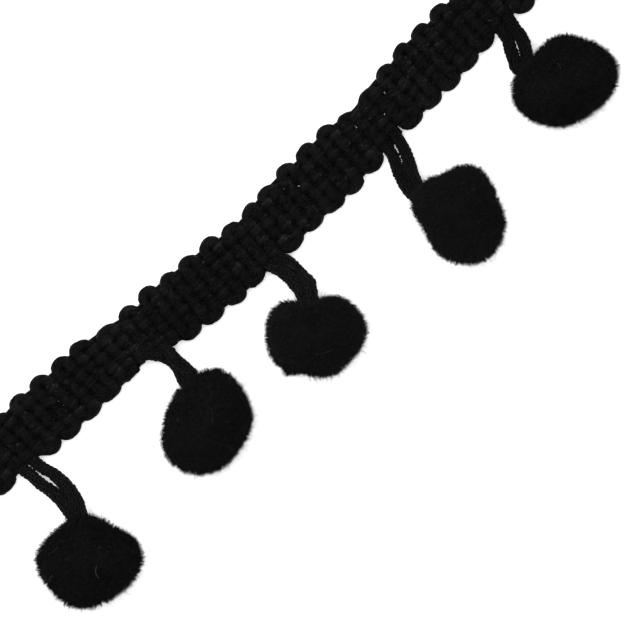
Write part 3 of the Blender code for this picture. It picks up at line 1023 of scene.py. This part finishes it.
def even_directions(count, rng, jitter):
    """Unit directions spread evenly over a ball by a golden spiral, then shaken a little."""
    i = np.arange(count)
    z = 1 - 2 * (i + 0.5) / count
    angle = i * math.pi * (3 - math.sqrt(5))
    level = np.sqrt(1 - z**2)
    unit = np.stack([np.cos(angle) * level, np.sin(angle) * level, z], axis=1)
    return normalised(unit + rng.normal(0, jitter, unit.shape))


def nearest(unit, centres):
    """For each unit direction, the number of the nearest of the centres."""
    found = np.empty(len(unit), int)
    for start in range(0, len(unit), 2000):
        part = unit[start : start + 2000]
        found[start : start + 2000] = np.argmax(part @ centres.T, axis=1)
    return found


def build_pompom(number, ball, drop, material):
    """A dense cut pile that stands in clumps, with fine fuzz, locks and curls."""
    rng = np.random.default_rng(300 + number)
    neck = neck_direction(drop)
    clumps = even_directions(CLUMPS_PER_BALL, rng, CLUMP_JITTER)
    lift = rng.normal(0, 1, CLUMPS_PER_BALL) * CLUMP_LIFT
    clump_tint = np.clip(rng.normal(1, CLUMP_TINT_SPREAD, CLUMPS_PER_BALL), 0.6, 1.5)
    yarns = Yarns()

    tip_out = rng.normal(PILE_TIP_OUT, PILE_TIP_SPREAD, PILE_FIBRES)
    unit = even_directions(PILE_FIBRES, rng, PILE_JITTER)
    clump = nearest(unit, clumps)
    root = ball_points(ball, neck, unit, CORE_DEPTH)
    towards = normalised(unit + (clumps[clump] - unit) * CLUMP_LEAN)
    tip = ball_points(ball, neck, towards, 0.0) + towards * (tip_out + lift[clump])[:, None]
    tip += rng.normal(0, PILE_TIP_SHAKE, tip.shape)
    keep = tip[:, 2] > 0.03 * MM
    tint = ball.tone * rng.uniform(*PILE_TINT, keep.sum()) * clump_tint[clump[keep]]
    build_fibres(yarns, root[keep], tip[keep], PILE_TAPER, tint)
    build_halo(yarns, ball, neck, rng)
    build_locks(yarns, number, ball, neck, rng)
    build_curls(yarns, number, ball, neck, rng)
    node = f"pompom_{number}"
    yarns.piece(f"{node}_pile", material, node)


def build_fibres(yarns, root, tip, taper, tint=None):
    """Straight cut fibres of the pile's thickness, from root to tip."""
    radius = PILE_FIBRE_RADIUS * np.array(taper)[None, :] * np.ones((len(root), 1))
    routes = np.stack([root, tip], axis=1)
    yarns.round_tubes(routes, radius, 3, any_frame, tip=True, tint=tint)


def build_halo(yarns, ball, neck, rng):
    """Fine crimped fibres that stand off the pile, tinted pale as painted sheen."""
    unit = even_directions(HALO_FIBRES, rng, CLUMP_JITTER)
    start = ball_points(ball, neck, unit, HALO_DEPTH)
    keep = start[:, 2] > 0.6 * MM
    unit, start = unit[keep], start[keep]
    outward = np.linspace(1.0, 0.3, HALO_STEPS)[:, None]
    crimp = rng.normal(0, HALO_CRIMP, (len(unit), HALO_STEPS, 3))
    walk = normalised(unit[:, None] * outward + crimp)
    length = (0.30 + rng.gamma(2.0, HALO_LENGTH, (len(unit), 1, 1))) * MM
    routes = start[:, None] + np.cumsum(walk * length / HALO_STEPS, axis=1)
    routes = np.concatenate([start[:, None], routes], axis=1)
    radius = FUZZ_RADIUS * np.linspace(1.0, 0.6, HALO_STEPS + 1) * np.ones((len(unit), 1))
    tint = rng.uniform(*HALO_SHEEN_TINT, len(unit))
    yarns.round_tubes(routes, radius, 3, any_frame, tip=True, tint=tint)


def build_locks(yarns, number, ball, neck, rng):
    """Locks of pile that were cut longer and stick out at the side."""
    for lock in (lock for lock in LOCKS if lock.pompom == number):
        angle = math.radians(lock.deg)
        middle = np.array([math.cos(angle), math.sin(angle), 0.0])
        unit = normalised(middle + rng.normal(0, 0.05, (lock.fibres, 3)))
        root = ball_points(ball, neck, unit, CORE_DEPTH)
        reach = lock.reach * MM * rng.uniform(0.4, 1.0, (lock.fibres, 1))
        tip = ball_points(ball, neck, unit, 0.0) + (middle * 0.5 + unit * 0.5) * reach
        tip += rng.normal(0, 0.07 * MM, tip.shape)
        build_fibres(yarns, root, tip, LOCK_TAPER)


def build_curls(yarns, number, ball, neck, rng):
    """Loose fibres that lie curled on the pile: most as dark as the pile, a few pale."""
    unit = even_directions(CURLS_PER_BALL, rng, 0.3)
    pale = rng.random(CURLS_PER_BALL) < PALE_CURLS
    tint = np.where(pale, PALE_CURL_TINT, rng.uniform(*CURL_TINT, CURLS_PER_BALL))
    keep = unit[:, 2] > 0.1
    unit, tint = unit[keep], tint[keep]
    start = ball_points(ball, neck, unit, -0.10 * MM)
    level = normalised(np.cross(unit, rng.normal(size=unit.shape)))
    aside = np.cross(unit, level)
    steady = rng.normal(0, 0.5, (len(unit), 1)) * np.arange(CURL_STEPS)
    heading = steady + np.cumsum(rng.normal(0, 0.5, (len(unit), CURL_STEPS)), axis=1)
    step = rng.uniform(0.06, 0.16, (len(unit), 1, 1)) * MM
    cos, sin = np.cos(heading)[..., None], np.sin(heading)[..., None]
    walk = level[:, None] * cos + aside[:, None] * sin
    routes = start[:, None] + np.cumsum(walk * step, axis=1)
    yarns.round_tubes(routes, CURL_RADIUS, 3, any_frame, tint=tint)
    for curl in (curl for curl in CURLS if curl.pompom == number):
        route, tint = seen_curl(ball, curl)[None], np.array([curl.tint])
        yarns.round_tubes(route, SEEN_CURL_RADIUS, 4, any_frame, tint=tint)


def seen_curl(ball, curl):
    """Route of one of the photograph's curls, over the dome of its ball."""
    t = np.linspace(-1, 1, 9)[:, None]
    angle = math.radians(curl.deg)
    along = np.array([math.cos(angle), math.sin(angle)])
    aside = np.array([-along[1], along[0]])
    level = np.array([curl.x, curl.y]) + along * t * curl.half + aside * t**2 * curl.bend
    from_middle = np.linalg.norm(level - [ball.x, ball.y], axis=1, keepdims=True)
    dome = np.sqrt(np.clip(1 - (from_middle / ball.radius) ** 2, 0, 1))
    height = (BALL_CENTRE_HEIGHT + dome * BALL_HEIGHT / 2) / MM + SEEN_CURL_HEIGHT
    return np.concatenate([level, height], axis=1) * MM


def build_core(number, ball, drop, material):
    """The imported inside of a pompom, dark, and dented between the clumps of pile."""
    rng = np.random.default_rng(400 + number)
    neck = neck_direction(drop)
    node = f"pompom_{number}"
    mesh = bpy.data.meshes.new(f"{node}_core")
    bm = bmesh.new()
    bmesh.ops.create_icosphere(bm, subdivisions=CORE_SUBDIVISIONS, radius=1.0)
    unit = np.array([vert.co.normalized()[:] for vert in bm.verts])
    clumps = even_directions(CLUMPS_PER_BALL, rng, CLUMP_JITTER)
    closeness = np.max(unit @ clumps.T, axis=1)
    dent = np.clip((1 - closeness) / CORE_DENT_SPREAD, 0, 1) * CORE_DENT
    points = ball_points(ball, neck, unit, CORE_DEPTH - CORE_UNDER_ROOTS)
    points -= unit * dent[:, None]
    points[:, 2] = np.maximum(points[:, 2], 0.05 * MM)
    for vert, point in zip(bm.verts, points):
        vert.co = point
    bm.to_mesh(mesh)
    bm.free()
    mesh.shade_smooth()
    mesh.materials.append(material)
    place_piece(mesh, node)


# ---- stage ----

TABLE_HALF_SIDE = 0.6
TABLE_WHITE = 0.93
TABLE_GLOW = 0.37
STUDIO_LIGHT = 0.95
SOFTBOX_SIZE = 1.2
SOFTBOX_POWER = 14.0
SOFTBOX_PLACE = (-0.08, 0.45, 1.25)


def build_stage():
    mesh = bpy.data.meshes.new("floor")
    corners = [(-1, -1), (1, -1), (1, 1), (-1, 1)]
    mesh.from_pydata(
        [(x * TABLE_HALF_SIDE, y * TABLE_HALF_SIDE, 0) for x, y in corners], [], [(0, 1, 2, 3)]
    )
    floor = bpy.data.objects.new("floor", mesh)
    bpy.context.scene.collection.objects.link(floor)
    material = bpy.data.materials.new("white_table")
    material.use_nodes = True
    shader = material.node_tree.nodes["Principled BSDF"]
    set_inputs(shader, {"Base Color": (TABLE_WHITE, TABLE_WHITE, TABLE_WHITE, 1)})
    set_inputs(shader, {"Roughness": 0.9, "Specular IOR Level": 0.1})
    set_inputs(shader, {"Emission Color": (1, 1, 1, 1), "Emission Strength": TABLE_GLOW})
    mesh.materials.append(material)

    world = bpy.data.worlds.new("studio")
    bpy.context.scene.world = world
    world.use_nodes = True
    background = world.node_tree.nodes["Background"]
    set_inputs(background, {"Color": (1, 1, 1, 1), "Strength": STUDIO_LIGHT})

    light = bpy.data.lights.new("softbox", "AREA")
    light.shape = "SQUARE"
    light.size = SOFTBOX_SIZE
    light.energy = SOFTBOX_POWER
    box = bpy.data.objects.new("softbox", light)
    box.location = SOFTBOX_PLACE
    box.rotation_euler = (-Vector(SOFTBOX_PLACE)).to_track_quat("-Z", "Y").to_euler()
    bpy.context.scene.collection.objects.link(box)


def build_camera():
    camera = bpy.data.cameras.new("camera")
    camera.sensor_width = SENSOR_WIDTH
    camera.lens = SENSOR_WIDTH * CAMERA_HEIGHT / VIEW_WIDTH
    camera.clip_start, camera.clip_end = 0.01, 10
    obj = bpy.data.objects.new("camera", camera)
    place = Matrix.Translation((VIEW_X, VIEW_Y, CAMERA_HEIGHT))
    obj.matrix_world = place @ Matrix.Rotation(-math.radians(VIEW_TURN_DEG), 4, "Z")
    bpy.context.scene.collection.objects.link(obj)
    bpy.context.scene.camera = obj


# ---- the trim ----


def build_heading():
    yarn = fibre_material(
        "black_weft", dark=0.0018, light=0.0058, roughness=0.5, sheen=0.01,
        streaks_around=4.0, bump=0.12,
    )
    rng = np.random.default_rng(21)
    cord = weft_cord()
    weft = Yarns()
    build_weft(weft, cord)
    weft.piece("heading_weft", yarn, "heading")
    chains = Yarns()
    build_chains(chains, rng)
    build_fillers(chains)
    chains.piece("heading_chains", yarn, "heading")
    loose = Yarns()
    build_loose_plies(loose, cord, LOOSE_PLIES, rng)
    build_loose_loops(loose, LOOSE_LOOPS, rng)
    build_fuzz(loose, cord, WEFT_FUZZ, rng)
    loose.piece("heading_fibres", yarn, "heading")


def build_drops():
    chainette = fibre_material(
        "black_chainette", dark=0.0025, light=0.0085, roughness=0.5, sheen=0.01,
        streaks_around=4.0, bump=0.2,
    )
    pile = fibre_material(
        "black_pile", dark=0.0056, light=0.0118, roughness=0.8, sheen=0.0,
        streaks_around=2.0, bump=0.1,
    )
    for number, (drop, ball) in enumerate(zip(DROPS, BALLS), start=1):
        build_drop_cord(number, drop, ball, chainette)
        build_core(number, ball, drop, pile)
        build_pompom(number, ball, drop, pile)


build_camera()
build_stage()
build_heading()
build_drops()
bpy.context.scene.view_settings.view_transform = "Standard"
